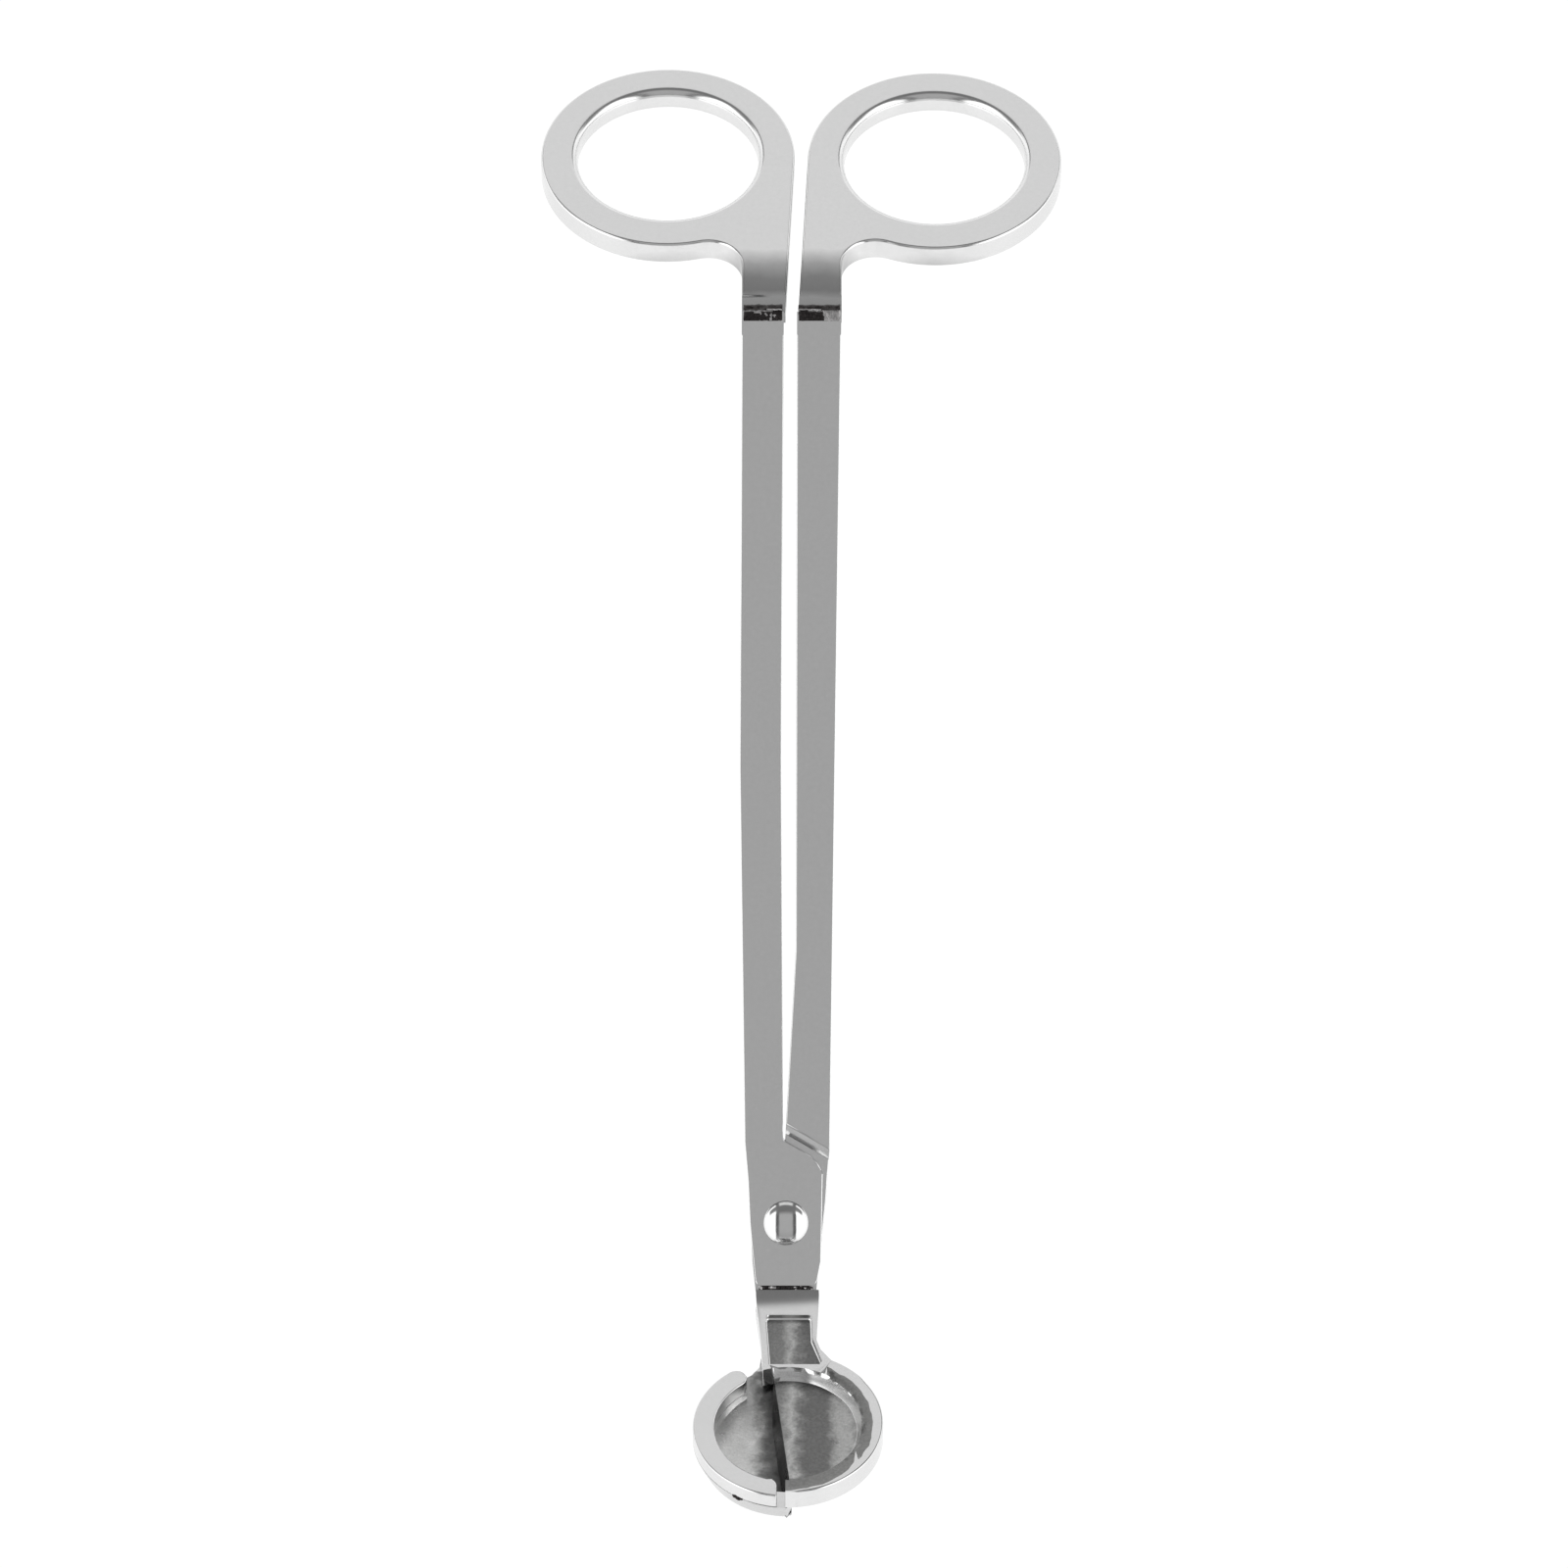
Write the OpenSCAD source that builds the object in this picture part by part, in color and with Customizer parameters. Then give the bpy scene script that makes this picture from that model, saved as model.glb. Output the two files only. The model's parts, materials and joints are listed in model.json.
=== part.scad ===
// Wick trimmer: two flat steel arms crossing in a half lap at one rivet.
// Finger loops bent down at one end, a two-part cutting tray bent up at the other.
// Millimetres, +Z up, +Y toward the finger loops; the tool lies on the floor at Z = 0.

/* [Overall] */
// thickness of the arms
bar_t = 3; // [2:0.1:5]
// rivet axis to the bend under the loops
loop_reach = 106.3; // [60:0.1:160]
// rivet axis to the weld behind the tray
head_reach = 7.55; // [6:0.1:12]
// bend of the loops below the shanks
loop_bend = 43; // [0:0.5:60]
// bend of the tray above the shanks
head_bend = 46.5; // [0:0.5:60]

/* [Finger loops] */
// outside diameter of a loop
loop_d = 30; // [24:0.5:40]
// diameter of the finger hole
hole_d = 21.4; // [18:0.1:30]
// hole centre beyond the loop centre
hole_shift = 0.3; // [0:0.1:1]
// rounding where a loop meets its tang
loop_fillet = 4; // [2:0.5:8]
// left loop centre, sideways from the rivet
left_loop_x = 13.96; // [12:0.01:20]
// left loop centre, from the bend
left_loop_y = 26.2; // [20:0.1:32]
// right loop centre, sideways from the rivet
right_loop_x = 17.56; // [12:0.01:22]
// right loop centre, from the bend
right_loop_y = 25.6; // [20:0.1:32]
// radius of the weld across a loop bend
bend_weld_r = 1.2; // [0.6:0.05:2]
// how far that weld stands proud
bend_weld_proud = 0.25; // [0:0.05:0.5]
// how far it lies over on the shank
bend_weld_back = 0.35; // [0:0.05:1]

/* [Left arm, in front] */
// inner edge at the bend
front_in_bend = 0.23; // [0:0.01:2]
// outer edge at the bend
front_out_bend = 5.14; // [4:0.01:8]
// inner edge half way
front_in_mid = 0.57; // [0:0.01:2]
// outer edge half way
front_out_mid = 5.37; // [4:0.01:8]
// inner edge at the lap
front_in_lap = 0.34; // [0:0.01:2]
// outer edge at the lap
front_out_lap = 4.8; // [4:0.01:8]

/* [Right arm, behind] */
// inner edge at the bend
rear_in_bend = 1.3; // [0:0.01:3]
// outer edge at the bend
rear_out_bend = 6.5; // [5:0.01:9]
// inner edge half way
rear_in_mid = 1.15; // [0:0.01:3]
// outer edge half way
rear_out_mid = 5.75; // [5:0.01:9]
// inner edge at the lap, left of the rivet axis
rear_in_lap = -0.1; // [-1:0.01:1]
// outer edge at the lap
rear_out_lap = 5.14; // [4:0.01:8]

/* [Half lap and rivet] */
// widest half width of the lap plates
lap_half_w = 4.4; // [3.5:0.1:6]
// half width of the plates at the head weld
neck_half_w = 3.5; // [2.5:0.1:5]
// height of the notch above the rivet axis, at the middle
notch_y = 9.5; // [8:0.1:12]
// slope of the notch and of the shoulder
notch_slope = 30; // [0:1:45]
// opening between notch and shoulder
notch_gap = 0.7; // [0.3:0.05:1.5]
// run of the sloping shoulder face
shoulder_run = 1.1; // [0:0.05:2]
// depth of that sloping face, above a square step
shoulder_depth = 0.75; // [0:0.05:1.2]
// gap between the lap plates
lap_gap = 0.1; // [0.05:0.01:0.3]
// diameter of the rivet shank
rivet_d = 3; // [2:0.1:4]
// running clearance of the front arm on the rivet, radial
rivet_clear = 0.04; // [0.01:0.01:0.1]
// diameter of the rivet head
rivet_head_d = 5.2; // [4:0.1:8]
// height of the rivet head
rivet_head_h = 1.3; // [0.6:0.1:3]
// height of the upset tail
rivet_tail_h = 0.6; // [0.2:0.1:1.5]

/* [Tray] */
// outside diameter of the tray
tray_d = 22; // [16:0.5:30]
// tray centre, from the head bend
tray_y = 19.85; // [14:0.05:26]
// tray centre, right of the rivet axis
tray_x = 0.22; // [-1:0.01:1]
// height of the upper jaw
upper_h = 2.7; // [2:0.1:4]
// depth of the upper recess
upper_recess = 1.6; // [0.8:0.1:2.5]
// width of the rim at its top
rim_w = 2.3; // [1.5:0.1:4]
// slope taken up by the recess wall
recess_draft = 0.7; // [0:0.1:1.5]
// radius of the hand-ground slope on the upper rim
ground_r = 10.5; // [9:0.1:11]
// depth of that slope at the recess
ground_depth = 0.4; // [0.1:0.05:1]
// height of the C-shaped rim
c_rim_h = 2; // [1:0.1:3]
// width of the C-shaped rim
c_rim_w = 2.5; // [1.5:0.1:4]
// height of the cup under the rim
cup_h = 3; // [1.5:0.1:4]
// thickness of the cup floor
cup_floor = 1.35; // [0.4:0.05:1.5]
// how much narrower the cup is at its bottom, each side
cup_draft = 1.2; // [0:0.1:2]
// gap between the jaws
jaw_gap = 0.1; // [0.05:0.01:0.3]

/* [Cutting edges] */
// angle of the cutting edge to the shanks
cut_angle = 6.4; // [0:0.1:15]
// cutting edge left of the rivet axis, at the tray centre line
cut_x = 0.46; // [0:0.01:2]
// how far the lower edge reaches under the upper one
cut_lap = 0.78; // [0.2:0.01:2]
// foot of the lower bevel, left of the cutting edge
bevel_foot = 0.8; // [0.3:0.05:2]
// flat land along the lower edge
edge_land = 0.35; // [0.1:0.05:1]

/* [Neck] */
// depth of the sunk pocket
pocket_depth = 0.7; // [0.3:0.1:1.2]
// start of the pocket, from the head bend
pocket_start = 2.8; // [2:0.1:4]
// border beside the pocket
pocket_border = 0.6; // [0.3:0.1:1.5]
// leg of the facet across the head bend
facet = 0.9; // [0.3:0.1:2]
// gap between the two necks
neck_gap = 0.62; // [0.3:0.01:1.5]

/* [Hidden] */
$fn = 96;
far = 200;
near = 8;
lap_z = -bar_t / 2;
front_floor = lap_z + lap_gap / 2;
rear_top = lap_z - lap_gap / 2;
mid_y = loop_reach * 0.5;

// welds
weld_w = 0.5;
weld_sunk = 0.12;
weld_notch = 0.4;
front_cut_y = -head_reach - weld_w / 2;
rear_cut_y = front_cut_y - neck_gap * 2;

// head plane: p runs from the bend to the tip, r stands square to the tray
front_head_y = front_cut_y - facet;
tray_r = tray_d / 2;
rim_r = tray_r - rim_w;
c_rim_r = tray_r - c_rim_w;
blade_z = -upper_h + jaw_gap / 2;
cup_top = -upper_h - jaw_gap / 2;
cup_bottom = cup_top - cup_h;
cup_inside = cup_bottom + cup_floor;
rear_r_top = rear_top - neck_gap;
rear_r_low = -bar_t - neck_gap;
c_end_x = -4.55;
tip_slot_x = -0.07;
tip_slot_w = 1;
ground_x = -0.5;
ground_p = 20.2;
neck_side_x = 4.7;
neck_side_angle = 14;
floor_rise_p = 17;

function head_y(p, r) = front_head_y - p * cos(head_bend) + r * sin(head_bend);
function head_z(p, r) = p * sin(head_bend) + r * cos(head_bend);
function in_arm(p, r) = [head_y(p, r), head_z(p, r)];
// where the plane r of the head meets the level z of the arms
function fold(z, r) = [head_y((z - r * cos(head_bend)) / sin(head_bend), r), z];
function laid_y(y, z) = y * cos(lie_angle) - z * sin(lie_angle);

// Lying pose: the far lip of the left loop and the heel of the right arm touch the floor.
lip = left_loop_y + loop_d / 2;
lip_y = loop_reach + lip * cos(loop_bend) - bar_t * sin(loop_bend);
lip_z = -lip * sin(loop_bend) - bar_t * cos(loop_bend);
heel_y = fold(-bar_t, rear_r_low)[0];
lie_angle = atan((-bar_t - lip_z) / (lip_y - heel_y));
low_z = lip_y * sin(lie_angle) + lip_z * cos(lie_angle);
far_end = laid_y(loop_reach + lip * cos(loop_bend), -lip * sin(loop_bend));
tip_p = tray_y + tray_r - cup_draft;
near_end = laid_y(head_y(tip_p, cup_bottom), head_z(tip_p, cup_bottom));
middle_x = (right_loop_x - left_loop_x) / 2;
middle_y = (far_end + near_end) / 2;

steel = [0.80, 0.81, 0.82];
satin = [0.62, 0.63, 0.64];
weld_grey = [0.30, 0.29, 0.28];

// ---------- placing ----------
module lay() {
    translate([-middle_x, -middle_y, -low_z]) rotate([lie_angle, 0, 0]) children();
}

module at_loop() {
    translate([0, loop_reach, 0]) rotate([-loop_bend, 0, 0]) children();
}

module at_head() {
    translate([0, front_head_y, 0]) rotate([-head_bend, 0, 0]) children();
}

// Everything on the loop side (1) or the shank side (-1) of the mitre through a loop bend.
module mitre(side) {
    translate([0, loop_reach, 0]) rotate([-loop_bend / 2, 0, 0])
        translate([-far / 2, side > 0 ? 0 : -far, -far / 2]) cube(far);
}

// A side profile drawn as y and z, run right through the tool.
module across() {
    rotate([90, 0, 90]) translate([0, 0, -far / 2]) linear_extrude(far) children();
}

// ---------- finger loops ----------
// Outline in the loop plane, u outward from the rivet axis and v from the bend.
module loop_outline(u_in, u_out, u_mid, v_mid) {
    r = loop_d / 2;
    fillet_v = v_mid - sqrt(pow(r + loop_fillet, 2) - pow(u_mid - u_out - loop_fillet, 2));
    fillet_u = u_out + loop_fillet;
    difference() {
        union() {
            translate([u_mid, v_mid]) circle(r);
            difference() {
                polygon([[u_in, -bar_t], [u_out, -bar_t], [u_out, fillet_v], [fillet_u, fillet_v],
                         [u_mid, v_mid], [u_mid - r, v_mid]]);
                translate([fillet_u, fillet_v]) circle(loop_fillet);
            }
        }
        translate([u_mid, v_mid + hole_shift]) circle(d = hole_d);
    }
}

module bend_weld_bar(side, u_in, u_out) {
    translate([side * (u_in + u_out) / 2, loop_reach - bend_weld_back, bend_weld_proud - bend_weld_r]) rotate([0, 90, 0])
        cylinder(h = u_out - u_in - weld_notch, r = bend_weld_r, center = true);
}

module finger_loop(side, u_in, u_out, u_mid, v_mid) {
    difference() {
        intersection() {
            at_loop() mirror([side < 0 ? 1 : 0, 0, 0]) translate([0, 0, -bar_t])
                linear_extrude(bar_t) loop_outline(u_in, u_out, u_mid, v_mid);
            mitre(1);
        }
        bend_weld_bar(side, u_in, u_out);
    }
}

// ---------- arms ----------
// Outline of the left arm, from the bend down to the head weld.
module front_outline() {
    rise = tan(notch_slope);
    polygon([[-front_out_bend, loop_reach + bar_t], [-front_out_mid, mid_y], [-front_out_lap, notch_y],
             [-lap_half_w, notch_y * 0.5], [-lap_half_w + 0.2, 0], [-neck_half_w, -head_reach + weld_w / 2],
             [neck_half_w, -head_reach + weld_w / 2], [lap_half_w - 0.3, -head_reach * 0.6],
             [lap_half_w - 0.1, notch_y * 0.6], [lap_half_w - 0.5, notch_y - (lap_half_w - 0.5) * rise],
             [-front_in_lap, notch_y + front_in_lap * rise], [-front_in_mid, mid_y],
             [-front_in_bend, loop_reach + bar_t]]);
}

// Outline of the right arm.
module rear_outline() {
    rise = tan(notch_slope);
    weld_y = rear_cut_y + weld_w;
    polygon([[rear_out_bend, loop_reach + bar_t], [rear_out_mid, mid_y], [rear_out_lap, notch_y],
             [lap_half_w + 0.3, notch_y * 0.3], [neck_half_w, weld_y], [-neck_half_w, weld_y],
             [-lap_half_w + 0.4, -head_reach * 0.6], [-lap_half_w + 0.2, notch_y * 0.6],
             [-lap_half_w + 0.5, notch_y - (lap_half_w - 0.5) * rise],
             [rear_in_lap, notch_y - rear_in_lap * rise], [rear_in_mid, mid_y * 0.6],
             [rear_in_mid, mid_y], [rear_in_bend, loop_reach + bar_t]]);
}

// Room for the other arm's plate, ending at a sloping shoulder. Side 1 is cut from the front face.
module lap_cut(side, z_flat) {
    translate([0, notch_y + notch_gap / cos(notch_slope), 0]) rotate([0, 0, -side * notch_slope]) across()
        polygon([[-far / 4, z_flat], [0, z_flat], [0, lap_z + side * (bar_t / 2 - shoulder_depth)],
                 [3 * shoulder_run, lap_z + side * (bar_t / 2 + 2 * shoulder_depth)],
                 [-far / 4, lap_z + side * (bar_t / 2 + 2 * shoulder_depth)]]);
}

module arm_bar() {
    translate([0, 0, -bar_t]) linear_extrude(bar_t) children();
}

module pin_hole(r) {
    translate([0, 0, -near]) cylinder(h = 2 * near, r = r);
}

// ---------- head ----------
// Left or right of a line crossing the tray centre height at x_mid, in the head plane.
module beside(side, x_mid, angle) {
    translate([x_mid, -tray_y]) rotate(angle) translate([side > 0 ? 0 : -far, -far / 2]) square(far);
}

module tray_disc(r) {
    translate([tray_x, -tray_y]) circle(r);
}

module upper_neck_outline() {
    polygon([[-neck_half_w, near], [-neck_half_w, 0], [-neck_half_w + 0.6, -7.5],
             [-neck_half_w + 0.8, -tray_y + rim_r - 0.4], [tray_x, -tray_y],
             [tray_x + tray_r * 0.46, -tray_y + tray_r * 0.888], [neck_half_w + 0.5, -8.3],
             [neck_half_w + 0.05, -6.8], [neck_half_w + 0.35, 0], [neck_half_w, near]]);
}

module upper_neck_profile() {
    polygon([[front_cut_y, 0], in_arm(1.4 * facet, 0), in_arm(tray_y, 0), in_arm(tray_y, blade_z),
             in_arm(9.6, blade_z), in_arm(7.6, front_floor), fold(front_floor, front_floor),
             [front_cut_y, front_floor]]);
}

module pocket_outline() {
    left = -neck_half_w + pocket_border + 0.5;
    right = neck_half_w - pocket_border + 0.1;
    low = -tray_y + rim_r + 0.45;
    soft = 0.5;
    polygon([[left, -pocket_start - soft], [left + soft, -pocket_start], [right - soft, -pocket_start],
             [right, -pocket_start - soft], [right + 0.1, -6.6], [right + 1.2, low + soft],
             [right + 0.9, low], [left + 0.4, low]]);
    translate([left + soft, -pocket_start - soft]) circle(soft);
    translate([right - soft, -pocket_start - soft]) circle(soft);
}

module upper_tray_outline() {
    intersection() {
        tray_disc(tray_r);
        beside(1, -cut_x, cut_angle);
    }
    // rim end standing over the slot at the tip
    intersection() {
        tray_disc(tray_r);
        translate([tip_slot_x, -tray_y - tray_r]) square([tray_r / 3, tray_r - rim_r]);
    }
}

// The rim's top slopes in from a circle set off centre, but not across the neck.
module ground_slope() {
    inner = rim_r - 1;
    drop = ground_depth * (ground_r - inner) / (ground_r - rim_r);
    intersection() {
        at_head() translate([ground_x, -ground_p, -drop])
            cylinder(h = drop, r1 = inner, r2 = ground_r);
        at_head() translate([neck_side_x, -tray_y + rim_r, -near]) rotate([0, 0, neck_side_angle])
            translate([0, -far / 2, 0]) cube([far, far, 2 * near]);
    }
    intersection() {
        at_head() translate([ground_x, -ground_p, -drop])
            cylinder(h = drop, r1 = inner, r2 = ground_r);
        at_head() translate([-near, -tray_y - far, -near]) cube([2 * near, far, 2 * near]);
    }
}

module rear_neck_outline() {
    polygon([[-neck_half_w, near], [-neck_half_w, 0], [-neck_half_w + 0.7, -6.3], [-neck_half_w + 0.4, -8.4],
             [-neck_half_w - 0.5, -9.6], [-neck_half_w - 2, -10.4], [tray_x, -tray_y], [0.4, -12],
             [neck_half_w - 0.4, -6.8], [neck_half_w, 0], [neck_half_w, near]]);
}

module rear_neck_profile() {
    polygon([[rear_cut_y, rear_top], fold(rear_top, rear_r_top), in_arm(6, rear_r_top), in_arm(8.6, cup_top - 0.2),
             in_arm(tray_y, cup_top - 0.2), in_arm(tray_y, cup_bottom), in_arm(10.5, cup_bottom),
             in_arm(7, rear_r_low), fold(-bar_t, rear_r_low), [rear_cut_y, -bar_t]]);
}

// Hollow of the cup: left of the lower cutting bevel, its floor rising into the neck.
module cup_hollow() {
    foot = -cut_x - bevel_foot;
    crest = -cut_x + cut_lap - edge_land;
    intersection() {
        at_head() translate([0, -tray_y, 0]) rotate([0, 0, cut_angle]) rotate([90, 0, 0])
            translate([0, 0, -far / 2]) linear_extrude(far)
                polygon([[-far / 2, cup_inside], [foot, cup_inside], [crest, cup_top], [crest, near],
                         [-far / 2, near]]);
        at_head() translate([0, 0, -near]) linear_extrude(2 * near) union() {
            tray_disc(c_rim_r);
            translate([c_end_x, -tray_y]) square([near, tray_y - near]);
        }
        across() polygon([in_arm(9, cup_top - 0.2), in_arm(floor_rise_p, cup_inside), in_arm(3 * tray_r, cup_inside),
                          in_arm(3 * tray_r, near), in_arm(9, near)]);
    }
}

// The lower edge dips away from the blade toward the neck.
module root_relief() {
    intersection() {
        across() polygon([in_arm(5, cup_top - 0.25), in_arm(9, cup_top - 0.25), in_arm(16, cup_top),
                          in_arm(16, near), in_arm(5, near)]);
        at_head() translate([c_end_x, -16, -near]) cube([3 * near, 16, 2 * near]);
        at_head() translate([-far / 2, -far / 2, cup_top - 1]) cube([far, far, far]);
    }
}

// ---------- nodes ----------
module left_finger_loop() {
    color(steel) lay() finger_loop(-1, front_in_bend, front_out_bend, left_loop_x, left_loop_y);
}

module right_finger_loop() {
    color(steel) lay() finger_loop(1, rear_in_bend, rear_out_bend, right_loop_x, right_loop_y);
}

module left_loop_weld() {
    color(weld_grey) lay() bend_weld_bar(-1, front_in_bend, front_out_bend);
}

module right_loop_weld() {
    color(weld_grey) lay() bend_weld_bar(1, rear_in_bend, rear_out_bend);
}

module left_shank() {
    color(steel) lay() difference() {
        intersection() {
            arm_bar() front_outline();
            mitre(-1);
        }
        lap_cut(-1, front_floor);
        pin_hole(rivet_d / 2 + rivet_clear);
        bend_weld_bar(-1, front_in_bend, front_out_bend);
    }
}

module right_shank() {
    color(steel) lay() difference() {
        intersection() {
            arm_bar() rear_outline();
            mitre(-1);
        }
        lap_cut(1, rear_top);
        pin_hole(rivet_d / 2);
        bend_weld_bar(1, rear_in_bend, rear_out_bend);
    }
}

module upper_jaw_weld() {
    half = neck_half_w - weld_notch;
    color(weld_grey) lay() translate([-half, front_cut_y, front_floor])
        cube([2 * half, weld_w, -front_floor - weld_sunk]);
}

module lower_jaw_weld() {
    half = neck_half_w - weld_notch;
    color(weld_grey) lay() translate([-half, rear_cut_y, -bar_t + weld_sunk])
        cube([2 * half, weld_w, rear_top + bar_t - weld_sunk]);
}

module upper_jaw() {
    color(satin) lay() difference() {
        union() {
            intersection() {
                at_head() translate([0, 0, -near]) linear_extrude(2 * near) upper_neck_outline();
                across() upper_neck_profile();
            }
            at_head() translate([0, 0, blade_z]) linear_extrude(-blade_z) upper_tray_outline();
        }
        at_head() translate([tray_x, -tray_y, -upper_recess])
            cylinder(h = upper_recess, r1 = rim_r - recess_draft, r2 = rim_r);
        at_head() translate([tray_x, -tray_y, 0]) cylinder(h = near, r = rim_r);
        ground_slope();
        // left of the cutting edge the neck ends at the recess
        at_head() translate([0, 0, -near]) linear_extrude(2 * near) intersection() {
            tray_disc(rim_r);
            beside(-1, -cut_x, cut_angle);
        }
        at_head() translate([0, 0, -pocket_depth]) linear_extrude(near) pocket_outline();
    }
}

module lower_jaw() {
    color(satin) lay() difference() {
        union() {
            intersection() {
                at_head() translate([0, 0, -near]) linear_extrude(2 * near) rear_neck_outline();
                across() rear_neck_profile();
            }
            at_head() translate([tray_x, -tray_y, cup_bottom])
                cylinder(h = cup_h, r1 = tray_r - cup_draft, r2 = tray_r);
        }
        cup_hollow();
        root_relief();
        intersection() {
            at_head() translate([0, 0, -near]) linear_extrude(2 * near)
                beside(1, -cut_x + cut_lap, cut_angle * 0.3);
            at_head() translate([-far / 2, -far - 10.4, -far / 2]) cube(far);
        }
    }
}

module lower_jaw_rim() {
    mid_r = (tray_r + c_rim_r) / 2;
    end_r = c_rim_w / 2;
    turn = acos((tray_x - c_end_x + end_r) / mid_r);
    color(steel) lay() at_head() translate([0, 0, cup_top]) linear_extrude(c_rim_h) {
        difference() {
            tray_disc(tray_r);
            tray_disc(c_rim_r);
            translate([tip_slot_x - tip_slot_w, -tray_y - far]) square(2 * far);
            translate([tray_x, -tray_y]) rotate(-turn) translate([-far, 0]) square([far, far]);
        }
        translate([tray_x - mid_r * cos(turn), -tray_y + mid_r * sin(turn)]) circle(end_r);
    }
}

module pivot_rivet() {
    dome_r = (pow(rivet_head_d / 2, 2) + pow(rivet_head_h, 2)) / (2 * rivet_head_h);
    tail_w = rivet_d * 0.72;
    tail_r = (pow(tail_w, 2) + pow(rivet_tail_h, 2)) / (2 * rivet_tail_h);
    seat = 0.05;
    color(steel) lay() {
        translate([0, 0, -bar_t]) cylinder(h = bar_t + seat, d = rivet_d);
        translate([0, 0, seat]) intersection() {
            cylinder(h = rivet_head_h, d = rivet_head_d);
            translate([0, 0, rivet_head_h - dome_r]) sphere(dome_r);
        }
        translate([0, 0, -bar_t - rivet_tail_h]) intersection() {
            cylinder(h = rivet_tail_h, r = tail_w);
            translate([0, 0, tail_r]) sphere(tail_r);
        }
    }
}

left_finger_loop();
left_loop_weld();
left_shank();
upper_jaw_weld();
upper_jaw();
right_finger_loop();
right_loop_weld();
right_shank();
lower_jaw_weld();
lower_jaw();
lower_jaw_rim();
pivot_rivet();
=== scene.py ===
import bpy
import json
import math
from mathutils import Matrix, Vector, noise


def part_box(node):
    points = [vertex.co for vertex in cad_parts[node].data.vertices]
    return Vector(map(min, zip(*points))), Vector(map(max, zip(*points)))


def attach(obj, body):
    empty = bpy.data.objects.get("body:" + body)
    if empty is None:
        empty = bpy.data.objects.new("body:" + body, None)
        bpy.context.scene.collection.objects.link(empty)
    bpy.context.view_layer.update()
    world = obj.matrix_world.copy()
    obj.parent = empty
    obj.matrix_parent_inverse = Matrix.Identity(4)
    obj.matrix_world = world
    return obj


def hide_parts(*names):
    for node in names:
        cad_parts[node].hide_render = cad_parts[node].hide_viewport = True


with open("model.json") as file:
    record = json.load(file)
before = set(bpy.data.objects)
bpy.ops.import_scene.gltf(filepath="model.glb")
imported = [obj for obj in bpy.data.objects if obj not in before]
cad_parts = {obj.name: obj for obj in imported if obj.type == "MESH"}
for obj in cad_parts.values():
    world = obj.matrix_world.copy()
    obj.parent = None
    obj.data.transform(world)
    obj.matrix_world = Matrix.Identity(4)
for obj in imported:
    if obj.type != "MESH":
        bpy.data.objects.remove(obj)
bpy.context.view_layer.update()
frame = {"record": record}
print("frame loaded")

mm = 0.001
pivotJoint = frame["record"]["behaviour"]["joints"][0]
pivotAxis = Vector(pivotJoint["axis"])
lieAngle = math.atan2(-pivotAxis.y, pivotAxis.z)
toolFrame = Matrix.Translation(Vector(pivotJoint["pos_m"])) @ Matrix.Rotation(lieAngle, 4, "X")
toTool = toolFrame.inverted()
holes = {m["name"]: m for m in frame["record"]["mounts"]}

# the tray's own plane, from where the head bends up, with the middles of the tray and of its ground slope
head = {"start": -8.7, "bend": 46.5, "trayX": 0.22, "trayY": -19.85, "groundX": -0.5, "groundY": -20.2,
        "groundRadius": 10.5}
headFrame = toolFrame @ Matrix.Translation((0, head["start"] * mm, 0)) \
    @ Matrix.Rotation(math.radians(-head["bend"]), 4, "X")
toHead = headFrame.inverted()


def srgb(code):
    parts = [int(code[i:i + 2], 16) / 255 for i in (1, 3, 5)]
    return tuple(c / 12.92 if c <= 0.04045 else ((c + 0.055) / 1.055) ** 2.4 for c in parts) + (1.0,)


def addNode(tree, kind, links=None, **settings):
    node = tree.nodes.new(kind)
    for name, value in settings.items():
        if name.startswith("in_"):
            node.inputs[name[3:].replace("_", " ")].default_value = value
        else:
            setattr(node, name, value)
    for target, source in (links or {}).items():
        tree.links.new(source, node.inputs[target])  # a socket by its name or its number
    return node


def onlyThis(obj):
    if bpy.context.object and bpy.context.object.mode != "OBJECT":
        bpy.ops.object.mode_set(mode="OBJECT")
    bpy.ops.object.select_all(action="DESELECT")
    obj.select_set(True)
    bpy.context.view_layer.objects.active = obj


def pickEdges(obj, wanted, sharper=25):
    # selects the edges sharper than an angle whose place suits, seen in the tool's own frame
    onlyThis(obj)
    bpy.ops.object.mode_set(mode="EDIT")
    bpy.ops.mesh.select_mode(type="EDGE")
    bpy.ops.mesh.select_all(action="SELECT")
    bpy.ops.mesh.select_all(action="DESELECT")
    bpy.ops.mesh.edges_select_sharp(sharpness=math.radians(sharper))
    bpy.ops.object.mode_set(mode="OBJECT")
    mesh = obj.data
    found = 0
    places = [toTool @ v.co / mm for v in mesh.vertices]
    for edge in mesh.edges:
        if edge.select:
            a, b = (places[i] for i in edge.vertices)
            edge.select = bool(wanted(a, b))
            found += edge.select
    for part in list(mesh.polygons) + list(mesh.vertices):
        part.select = False
    bpy.ops.object.mode_set(mode="EDIT")
    bpy.ops.mesh.select_mode(type="EDGE")
    return found


def roundEdges(obj, width, steps, wanted=lambda a, b: True, sharper=25, clamp=True):
    if pickEdges(obj, wanted, sharper):
        bpy.ops.mesh.bevel(offset=width * mm, segments=steps, profile=0.5, clamp_overlap=clamp)
    bpy.ops.object.mode_set(mode="OBJECT")


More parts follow.
